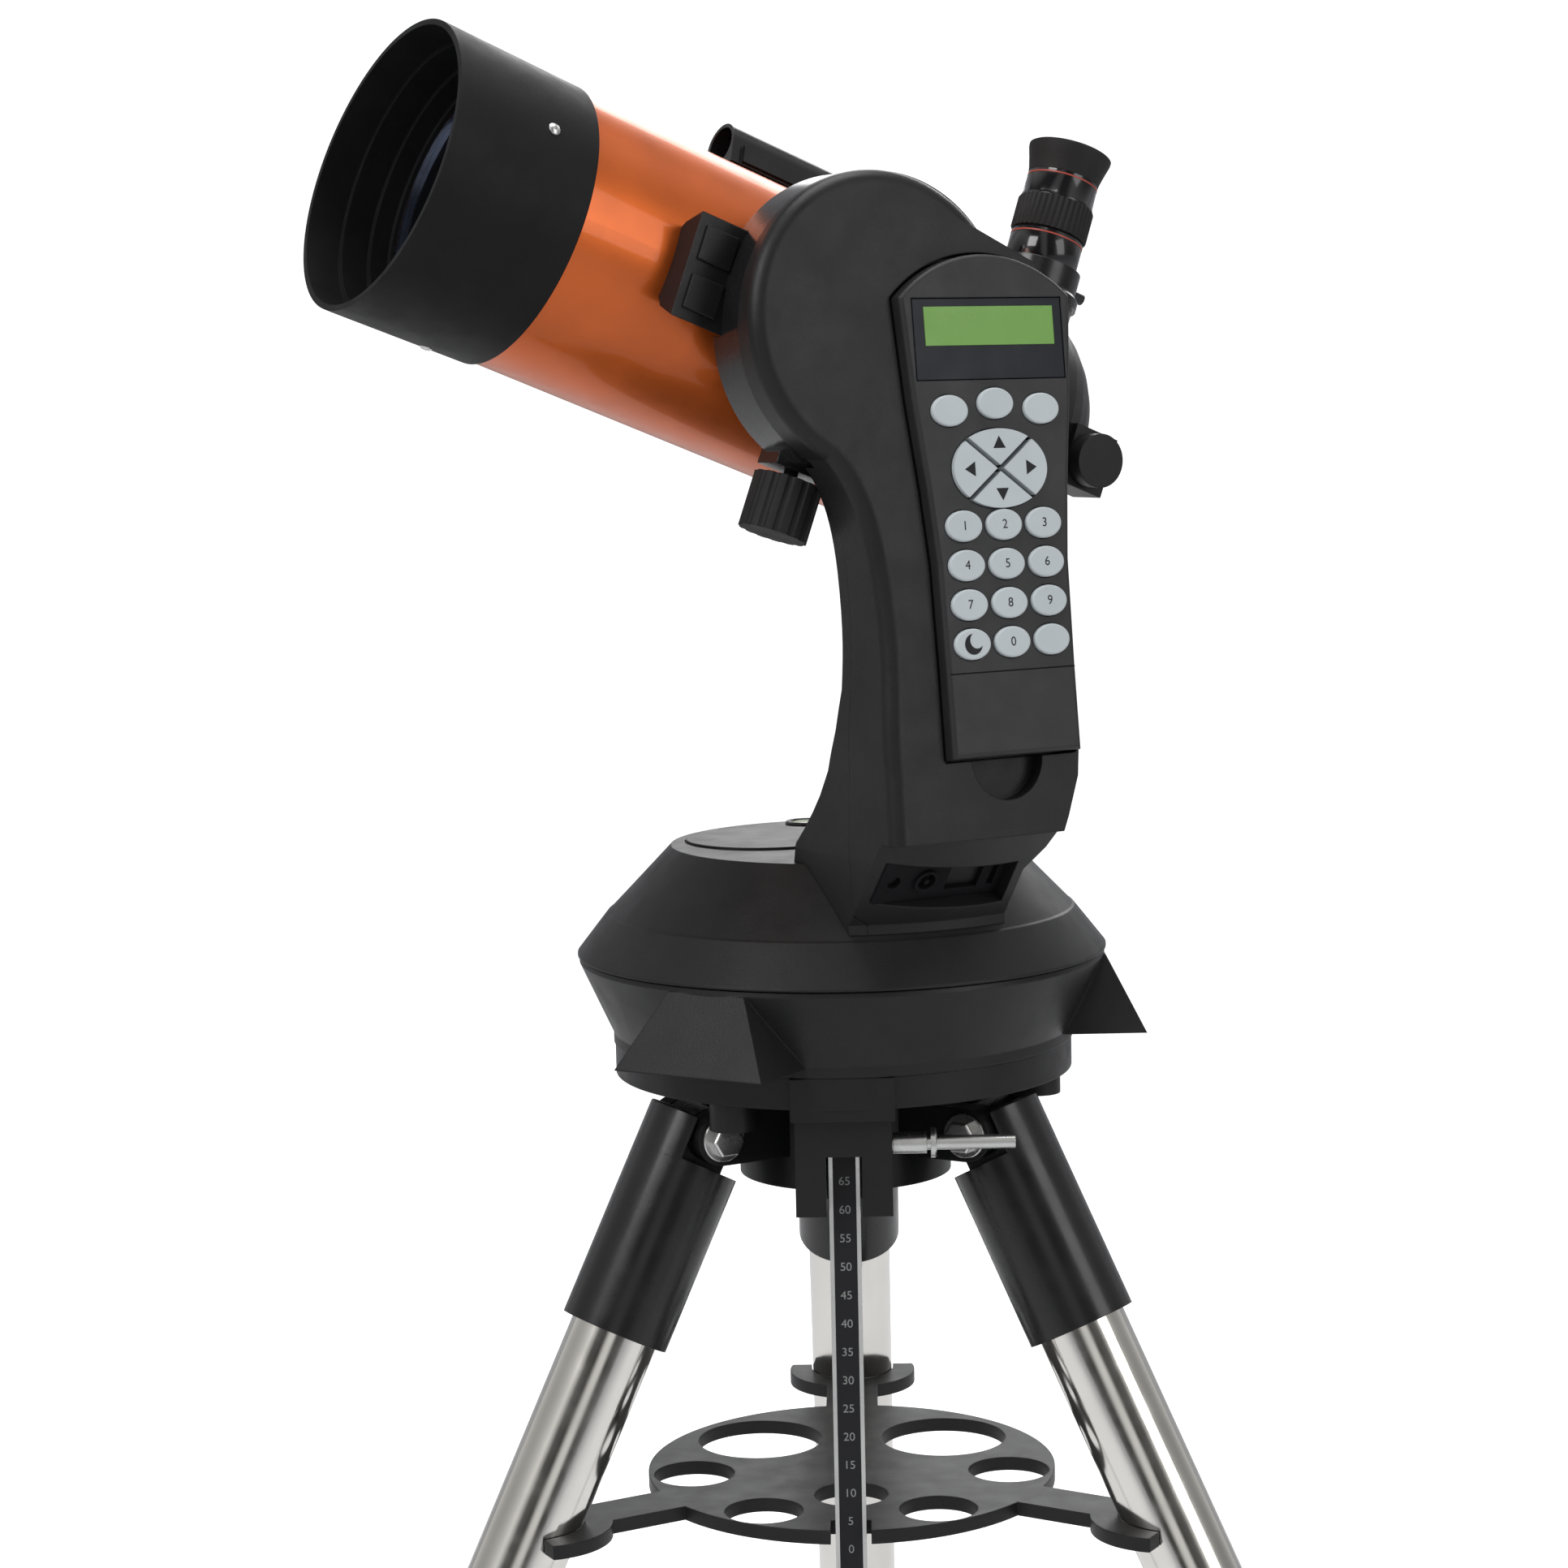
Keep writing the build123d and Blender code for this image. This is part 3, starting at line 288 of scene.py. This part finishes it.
def lathe(profile, steps=96, ribs=0):
    """Turned shape about z from (radius, height, rib depth) rows; the last row may repeat the first."""
    verts, faces, rings = [], [], []
    for row in profile:
        radius, height = row[0], row[1]
        depth = row[2] if len(row) > 2 else 0.0
        start = len(verts)
        if radius == 0:
            verts.append((0, 0, height))
            rings.append([start] * steps)
            continue
        for k in range(steps):
            a = 2 * math.pi * k / steps
            r = radius - depth * (0.5 - 0.5 * math.cos(ribs * a)) ** 2
            verts.append((r * math.cos(a), r * math.sin(a), height))
        rings.append(list(range(start, start + steps)))
    for one, two in zip(rings, rings[1:]):
        for k in range(steps):
            j = (k + 1) % steps
            face = list(dict.fromkeys((one[k], one[j], two[j], two[k])))
            if len(face) > 2:
                faces.append(face)
    return verts, faces


def slab(outline, bottom, top):
    """Upright prism over an outline."""
    count = len(outline)
    verts = [(x, y, bottom) for x, y in outline] + [(x, y, top) for x, y in outline]
    faces = [list(range(count))[::-1], list(range(count, 2 * count))]
    for k in range(count):
        j = (k + 1) % count
        faces.append([k, j, count + j, count + k])
    return verts, faces


def rectangle(x, y, wide, tall):
    return [(x - wide / 2, y - tall / 2), (x + wide / 2, y - tall / 2),
            (x + wide / 2, y + tall / 2), (x - wide / 2, y + tall / 2)]


def circle(x, y, radius, count=32, start=0.0, sweep=2 * math.pi):
    return [(x + radius * math.cos(start + sweep * k / count),
             y + radius * math.sin(start + sweep * k / count)) for k in range(count)]


def screw_head(name, place, radius, finish, body, slot):
    """Pan-head screw with a round recess in its top, standing on the local z = 0 plane."""
    verts, faces = lathe([(0, 0.35), (radius * 0.22, 0.35), (radius * 0.3, radius * 0.45),
                          (radius * 0.7, radius * 0.38), (radius, radius * 0.1), (radius, -0.6),
                          (0, -0.6)], 32)
    return piece(name, verts, faces, place, finish, body, slot)


def lettering(name, text, place, size, finish, body, spacing=1.0):
    """Plain digits that lie on the local z = 0 plane, centred."""
    curve = bpy.data.curves.new(name, "FONT")
    curve.body = text
    curve.size = size
    curve.extrude = 0.03
    curve.align_x = "CENTER"
    curve.align_y = "CENTER"
    curve.space_line = spacing
    curve.materials.append(finish)
    obj = bpy.data.objects.new(name, curve)
    scene.collection.objects.link(obj)
    obj.matrix_world = place
    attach(obj, body)
    return obj


# ------------------------------------------------------------- hand control
KEY_TOP = 7.6
KEY_PITCH_X = 19.2
KEY_PITCH_Y = 15.7
FIRST_ROW_Y = -5.5
PAD_Y = 17
window = slab(rectangle(0, 69, 71.6, 32.6), 4.6, 5.9)
piece("display_glass", *window, FACE, SCREEN, "hand_control", "display", ["display_window"], bevel=0.5)
piece("display_screen", *slab(rectangle(0.5, 74.2, 62, 15.5), 5.7, 6.05), FACE, LCD, "hand_control",
      "display", bevel=0.1)

piece("control_seam", *slab(rectangle(0, -64, 60, 0.6), 5.8, 6.04), FACE, FLAT, "hand_control",
      "black_plastic")

arrow_mark = [(-3.0, -2.2), (3.0, -2.2), (0, 2.8)]
for key, angle in (("key_up_arrow", 0), ("key_left_arrow", 90), ("key_down_arrow", 180),
                   ("key_right_arrow", 270)):
    a = math.radians(angle)
    reach = 10.2 if angle % 180 == 0 else 14.5
    turned = [(x * math.cos(a) - (y + reach) * math.sin(a),
               PAD_Y + x * math.sin(a) + (y + reach) * math.cos(a)) for x, y in arrow_mark]
    piece(key.replace("key_", "mark_"), *slab(turned, KEY_TOP - 0.2, KEY_TOP + 0.06), FACE, INK, key,
          "grey_key", bevel=0.05)


def crescent(x, y, radius=4.2, bite=3.3, bite_x=1.7, bite_y=1.5):
    """Moon outline: a round with a smaller round bitten out of it."""
    apart = math.hypot(bite_x, bite_y)
    toward = math.atan2(bite_y, bite_x)
    tip = math.acos((radius ** 2 + apart ** 2 - bite ** 2) / (2 * radius * apart))
    rim = circle(x, y, radius, 28, toward + tip, 2 * math.pi - 2 * tip)
    inner_tip = math.atan2(radius * math.sin(tip), radius * math.cos(tip) - apart)
    return rim + circle(x + bite_x, y + bite_y, bite, 20, toward - inner_tip, 2 * inner_tip - 2 * math.pi)


for row in range(4):
    for column in range(3):
        key = f"key_row{row + 1}_{column + 1}"
        x, y = (column - 1) * KEY_PITCH_X, FIRST_ROW_Y - row * KEY_PITCH_Y
        if (row, column) == (3, 0):
            piece("mark_light", *slab(crescent(x, y), KEY_TOP - 0.2, KEY_TOP + 0.06), FACE, INK, key,
                  "grey_key")
        elif (row, column) != (3, 2):
            digit = str(row * 3 + column + 1 if row < 3 else 0)
            spot = FACE @ Matrix.Translation((x, y, KEY_TOP + 0.03))
            lettering(f"digit_{digit}", digit, spot, 5.2, INK, key)

# ------------------------------------------------------------- eyepiece
eye_parts = [
    ("eyepiece_barrel", [(13.9, 54), (15.85, 54), (15.85, 77.4), (13.9, 77.4), (13.9, 54)], CHROME,
     "stainless", 0),
    ("eyepiece_lower_body", [(13.9, 77.2), (15.8, 77.2), (16.2, 77.7), (16.2, 90.2), (15.9, 90.6),
                             (15.9, 91.6), (13.9, 91.6), (13.9, 77.2)], GLOSS, "gloss_black", 0),
    ("eyepiece_grip", [(13.9, 91.4), (16.6, 91.4), (17.1, 92.2, 0.9), (17.1, 105.2, 0.9),
                       (16.6, 106), (13.9, 106), (13.9, 91.4)], RUBBER, "rubber", 40),
    ("eyepiece_upper_body", [(13.9, 105.8), (16.2, 106), (16.2, 107.2), (15.9, 107.6), (15.7, 118.2),
                             (13.9, 118.2), (13.9, 105.8)], GLOSS, "gloss_black", 0),
    ("eyepiece_cup", [(13.0, 117.9), (15.8, 117.9), (16.1, 120), (17.2, 124.5), (18.5, 129.2),
                      (18.6, 130.6), (18.0, 131), (17.1, 130), (15.4, 126), (14.2, 124),
                      (10.2, 122.4), (10.2, 119.5), (13.0, 117.9)], RUBBER, "rubber", 0),
    ("eyepiece_lens", [(0, 120.6), (6, 120.9), (10.6, 121.9), (10.6, 119.6), (0, 119.6)], GLASS,
     "glass", 0),
]
for name, profile, finish, slot, ribs in eye_parts:
    stands_for = ["eyepiece"] if name == "eyepiece_lower_body" else ()
    steps = 320 if ribs else 96
    piece(name, *lathe(profile, steps, ribs), EYE, finish, "eyepiece", slot, stands_for, sharp=40)
for name, radius, height in (("eyepiece_ring_upper", 15.75, 116.4), ("eyepiece_ring_lower", 16.2, 88.9)):
    band = [(radius - 0.3, height - 0.35), (radius + 0.08, height - 0.35), (radius + 0.08, height + 0.35),
            (radius - 0.3, height + 0.35), (radius - 0.3, height - 0.35)]
    piece(name, *lathe(band), EYE, RED_INK, "eyepiece", "gloss_black")

# ------------------------------------------------------------- tube fittings
focus_place = axes(FOCUS_SEAT, OUTWARD, -SIGHT)
piece("focus_knob_grip", *lathe([(8.5, 1), (9.4, 1.4, 0.35), (9.4, 14.6, 0.35), (8.5, 15), (8.5, 1)],
                                192, 18), focus_place, RUBBER, "focus_knob", "rubber")
for number, angle in enumerate((28, 148, 268), 1):
    screw_head(f"hood_screw_{number}", on_tube(144, angle, 60.2), 2.6, ZINC, "optical_assembly", "steel")
for name, height in (("lower", -13), ("upper", 7)):
    place = axes(PIVOT + (SIGHT * 70 + SIGHT_UP * height + OUTWARD * DOVETAIL_T) * MM, SIGHT, OUTWARD)
    piece(f"dovetail_pad_{name}", *slab(rectangle(0, 0, 15, 14), -0.4, 1.4), place, CASTING,
          "optical_assembly", "black_casting", bevel=0.4)

clamp_place = axes(AXIS + Vector((36, -80, -70)) * MM + UP * RIM_Z, UP, Vector((1, 0, 0)))
clamp_collar = [(2.8, 0), (6.2, 0), (6.2, 1.8), (5.6, 2.4), (2.8, 2.4), (2.8, 0)]
piece("latitude_clamp_collar", *lathe(clamp_collar, 48), clamp_place, ZINC, "latitude_clamp", "steel")

# ------------------------------------------------------------- leg hinges and feet
hex_head = lathe([(0, 1.1), (7.4, 1.1), (7.4, 5.4), (6.6, 6.2), (0, 6.2)], 6)
washer = lathe([(0, 0), (9.6, 0), (9.6, 0.9), (9.2, 1.3), (0, 1.3)], 48)
tube_top, tube_end, tube_bore = INNER_TUBE_START - LEG_LENGTH, -24, INNER_TUBE_R - 1.5
lower_tube = [(tube_bore, tube_top), (INNER_TUBE_R, tube_top), (INNER_TUBE_R, tube_end),
              (tube_bore, tube_end), (tube_bore, tube_top)]
dome = [(FOOT_R * math.cos(math.radians(t)), FOOT_R * math.sin(math.radians(t))) for t in range(10, 91, 8)]
rubber_foot = [(0, -25), (16.2, -25), (16.9, -24.2), (16.9, -21.5), (16.3, -20.8), (16.3, -4),
               (15.6, -0.5)] + dome
shoulder = circle(0, 0, SLEEVE_R, 25, math.radians(33), math.radians(114) * 25 / 24)
for number, azimuth in enumerate(LEG_AZIMUTHS, 1):
    if azimuth != REAR_LEG:  # the tilted plate comes close down over the rear hinge
        piece(f"leg_shoulder_{number}", *slab(shoulder, -5, 16), leg_frame(azimuth, 0), SATIN,
              f"leg_{number}", "black_casting", bevel=1.2)
        for side, sign in (("left", -1), ("right", 1)):
            place = hinge_frame(azimuth, sign, EAR_FACE)
            piece(f"hinge_washer_{number}_{side}", *washer, place, ZINC, "tripod", "steel")
            piece(f"hinge_head_{number}_{side}", *hex_head, place, ZINC, "tripod", "steel", bevel=0.3)
    foot = leg_frame(azimuth, LEG_LENGTH)
    piece(f"leg_lower_tube_{number}", *lathe(lower_tube, 72), foot, CHROME, f"leg_extension_{number}",
          "stainless", [f"leg_extension_{number}"])
    piece(f"leg_foot_{number}", *lathe(rubber_foot, 72), foot, RUBBER, f"leg_extension_{number}", "rubber")

# ------------------------------------------------------------- latitude scale and bubble level
strip = rectangle(0, -156, 9.6, 200)
piece("latitude_scale", *slab(strip, 81.3, 82.1), BAR, INK, "latitude_bar", "black_plastic", bevel=0.1)
numbers = "\n".join(str(value) for value in range(70, -1, -5))
lettering("latitude_numbers", numbers, BAR @ Matrix.Translation((0, -158, 82.13)), 5.0, PALE_INK,
          "latitude_bar", spacing=2.42)

level_ring = [(0, 45.5), (9.5, 45.5), (9.8, 46.6), (9.2, 47.4), (7.6, 47.4), (7.4, 46.7), (0, 46.7)]
level_spot = BASE @ Matrix.Translation((-15, 60, 0))
piece("bubble_level_cup", *lathe(level_ring, 64), level_spot, SATIN, "swinging_mount", "black_plastic")
piece("bubble_level_window", *lathe([(0, 46.9), (4, 47.3), (7.3, 46.8), (7.3, 46.2), (0, 46.2)], 64),
      level_spot, BUBBLE, "swinging_mount", "display")

# ------------------------------------------------------------- camera, floor and light
view = bpy.data.cameras.new("camera")
view.lens = 80.6273
view.sensor_width = 36
view.shift_x = 0.003313
view.shift_y = 0.000052
view.clip_end = 50
camera = bpy.data.objects.new("camera", view)
scene.collection.objects.link(camera)
yaw, pitch, roll = -0.0258, -0.1160, -0.0214
look = Vector((math.sin(yaw) * math.cos(pitch), math.cos(yaw) * math.cos(pitch), math.sin(pitch)))
level_right = Vector((math.cos(yaw), -math.sin(yaw), 0))
level_up = level_right.cross(look)
right = level_right * math.cos(roll) + level_up * math.sin(roll)
above = level_up * math.cos(roll) - level_right * math.sin(roll)
camera.matrix_world = Matrix.Translation(
    AXIS + Vector((13.16, -1506.3, 246.6)) * MM + UP * RIM_Z) @ Matrix(
    (right, above, -look)).transposed().to_4x4()
scene.camera = camera


def floor_sweep():
    """Pale floor that curves up into a wall behind."""
    outline = [(-7, 0)] + [(4 + 2 * math.sin(t * math.pi / 24), 2 - 2 * math.cos(t * math.pi / 24))
                           for t in range(13)] + [(6, 6)]
    verts = [(x, y, z) for y, z in outline for x in (-8, 8)]
    faces = [[2 * k, 2 * k + 1, 2 * k + 3, 2 * k + 2] for k in range(len(outline) - 1)]
    mesh = bpy.data.meshes.new("floor")
    mesh.from_pydata(verts, [], faces)
    mesh.polygons.foreach_set("use_smooth", [True] * len(mesh.polygons))
    pale = surface("pale_floor", (0.6, 0.6, 0.6), 0.75, grain=0.05, grain_mm=4, mottle=0.01, vary=0.03,
                   edge_mm=0.01, specular=0.2)
    lift = pale.node_tree.nodes.new("ShaderNodeMath")
    lift.operation = "MULTIPLY"
    lift.inputs[1].default_value = 0.72
    path = pale.node_tree.nodes.new("ShaderNodeLightPath")
    pale.node_tree.links.new(path.outputs["Is Camera Ray"], lift.inputs[0])
    pale.node_tree.links.new(lift.outputs["Value"], shader_of(pale).inputs["Emission Strength"])
    shader_of(pale).inputs["Emission Color"].default_value = (1, 1, 1, 1)
    mesh.materials.append(pale)
    sweep = bpy.data.objects.new("floor", mesh)
    scene.collection.objects.link(sweep)


floor_sweep()


def soft_light(name, place, aim, size, power):
    lamp = bpy.data.lights.new(name, "AREA")
    lamp.shape = "RECTANGLE"
    lamp.size, lamp.size_y = size
    lamp.energy = power
    obj = bpy.data.objects.new(name, lamp)
    scene.collection.objects.link(obj)
    obj.location = place
    obj.rotation_euler = (Vector(aim) - Vector(place)).to_track_quat("-Z", "Y").to_euler()


soft_light("key", (-1.6, -1.9, 2.6), (0, 0, 0.7), (1.4, 1.4), 44)
soft_light("fill", (2.2, -1.6, 1.5), (0, 0, 0.7), (1.2, 1.8), 15)
soft_light("top", (0.2, 0.2, 3.0), (0, -0.05, 0.6), (1.6, 1.6), 34)
soft_light("rear", (0.6, 2.4, 2.0), (0, 0, 0.8), (2.0, 1.2), 26)


def studio_world():
    """Even white for the camera and for soft light, with dark flats between bright ones in reflections."""
    world = bpy.data.worlds.new("world")
    scene.world = world
    world.use_nodes = True
    tree = world.node_tree
    even = tree.nodes["Background"]
    even.inputs["Color"].default_value = (0.95, 0.96, 1.0, 1)
    banded = tree.nodes.new("ShaderNodeBackground")
    banded.inputs["Strength"].default_value = 0.8
    coords = tree.nodes.new("ShaderNodeTexCoord")
    split = tree.nodes.new("ShaderNodeSeparateXYZ")
    spread = tree.nodes.new("ShaderNodeMapRange")
    spread.inputs["From Min"].default_value = -1
    bands = tree.nodes.new("ShaderNodeValToRGB")
    stops = ((0.0, 0.35), (0.14, 0.85), (0.24, 0.10), (0.38, 0.06), (0.46, 0.75), (0.54, 0.80),
             (0.60, 0.07), (0.74, 0.12), (0.84, 0.95), (1.0, 0.20))
    ramp = bands.color_ramp
    while len(ramp.elements) < len(stops):
        ramp.elements.new(0.5)
    for element, (place, tone) in zip(ramp.elements, stops):
        element.position = place
        element.color = (tone, tone * 0.99, tone * 0.97, 1)
    path = tree.nodes.new("ShaderNodeLightPath")
    whiter = tree.nodes.new("ShaderNodeMath")
    whiter.operation = "MULTIPLY_ADD"
    whiter.inputs[1].default_value = 0.45
    whiter.inputs[2].default_value = 0.62
    mix = tree.nodes.new("ShaderNodeMixShader")
    tree.links.new(path.outputs["Is Camera Ray"], whiter.inputs[0])
    tree.links.new(whiter.outputs["Value"], even.inputs["Strength"])
    tree.links.new(coords.outputs["Generated"], split.inputs["Vector"])
    tree.links.new(split.outputs["X"], spread.inputs["Value"])
    tree.links.new(spread.outputs["Result"], bands.inputs["Fac"])
    tree.links.new(bands.outputs["Color"], banded.inputs["Color"])
    tree.links.new(path.outputs["Is Glossy Ray"], mix.inputs["Fac"])
    tree.links.new(even.outputs["Background"], mix.inputs[1])
    tree.links.new(banded.outputs["Background"], mix.inputs[2])
    tree.links.new(mix.outputs["Shader"], tree.nodes["World Output"].inputs["Surface"])


studio_world()
scene.view_settings.view_transform = "Standard"
